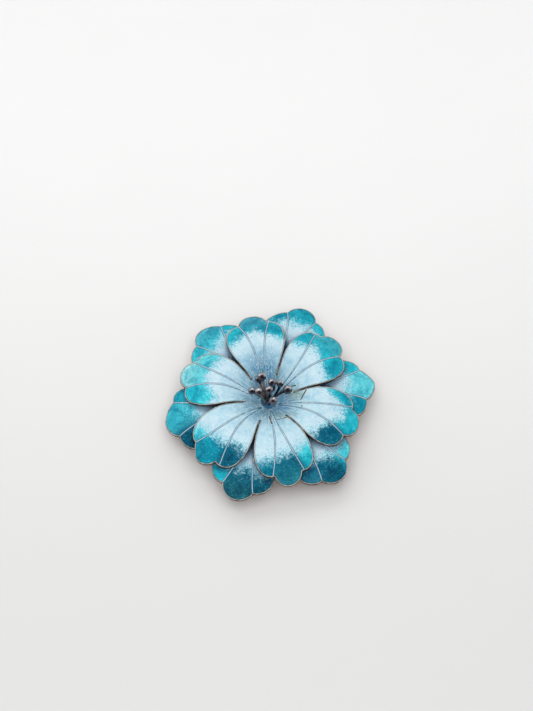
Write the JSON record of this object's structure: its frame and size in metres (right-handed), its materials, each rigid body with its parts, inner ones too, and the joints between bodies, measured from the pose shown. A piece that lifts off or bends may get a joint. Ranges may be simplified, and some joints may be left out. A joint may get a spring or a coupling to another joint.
{
  "type": "enamelled flower pin",
  "caption": "Two stacked enamelled petal cups with wire veins and beaded stamens, on a bar pin with a hinged stem and a roll-over catch.",
  "frame": {"origin": "middle of the outline seen from the front, at the lowest point of the pin finding, which is what the part lies on", "axes": "+Z out of the face of the flower; the pin stem runs along X with its hinge at -X and its catch at +X; +Y is up as worn"},
  "size_m": [0.0574, 0.0566, 0.0192],
  "materials": {
    "copper_plate": "satin",
    "upper_enamel": "gloss",
    "lower_enamel": "gloss",
    "silver_wire": "polished",
    "stamen_metal": "polished",
    "finding_silver": "satin",
    "pin_steel": "polished"
  },
  "bodies": {
    "flower": {"upper_flower_plate": "copper_plate", "upper_petal_enamel_1": "upper_enamel", "upper_petal_edge_wire_1": "silver_wire", "upper_petal_vein_wire_1": "silver_wire", "upper_petal_enamel_2": "upper_enamel", "upper_petal_edge_wire_2": "silver_wire", "upper_petal_vein_wire_2": "silver_wire", "upper_petal_enamel_3": "upper_enamel", "upper_petal_edge_wire_3": "silver_wire", "upper_petal_vein_wire_3": "silver_wire", "upper_petal_enamel_4": "upper_enamel", "upper_petal_edge_wire_4": "silver_wire", "upper_petal_vein_wire_4": "silver_wire", "upper_petal_enamel_5": "upper_enamel", "upper_petal_edge_wire_5": "silver_wire", "upper_petal_vein_wire_5": "silver_wire", "upper_petal_enamel_6": "upper_enamel", "upper_petal_edge_wire_6": "silver_wire", "upper_petal_vein_wire_6": "silver_wire", "lower_flower_plate": "copper_plate", "lower_petal_enamel_1": "lower_enamel", "lower_petal_edge_wire_1": "silver_wire", "lower_petal_vein_wire_1": "silver_wire", "lower_petal_enamel_2": "lower_enamel", "lower_petal_edge_wire_2": "silver_wire", "lower_petal_vein_wire_2": "silver_wire", "lower_petal_enamel_3": "lower_enamel", "lower_petal_edge_wire_3": "silver_wire", "lower_petal_vein_wire_3": "silver_wire", "lower_petal_enamel_4": "lower_enamel", "lower_petal_edge_wire_4": "silver_wire", "lower_petal_vein_wire_4": "silver_wire", "lower_petal_enamel_5": "lower_enamel", "lower_petal_edge_wire_5": "silver_wire", "lower_petal_vein_wire_5": "silver_wire", "lower_petal_enamel_6": "lower_enamel", "lower_petal_edge_wire_6": "silver_wire", "lower_petal_vein_wire_6": "silver_wire", "stamen_1": "stamen_metal", "stamen_2": "stamen_metal", "stamen_3": "stamen_metal", "stamen_4": "stamen_metal", "stamen_5": "stamen_metal", "stamen_6": "stamen_metal", "stamen_7": "stamen_metal", "stamen_8": "stamen_metal", "stamen_9": "stamen_metal", "centre_rivet": "stamen_metal", "spacer_collar": "copper_plate", "back_bar": "finding_silver", "hinge_bracket": "finding_silver", "catch_housing": "finding_silver", "hinge_rivet": "pin_steel"},
    "stem": {"pin_stem": "pin_steel"},
    "roller": {"catch_roller": "finding_silver"}
  },
  "joints": [
    {"name": "pin_stem_swing", "type": "hinge", "parent": "flower", "child": "stem", "pos_m": [-0.01354, -0.00023, 0.0021], "axis": [0, 1, 0], "range_deg": [0, 100]},
    {"name": "catch_roller_turn", "type": "hinge", "parent": "flower", "child": "roller", "pos_m": [0.01246, -0.00023, 0.0021], "axis": [1, 0, 0], "range_deg": [0, 110]}
  ]
}
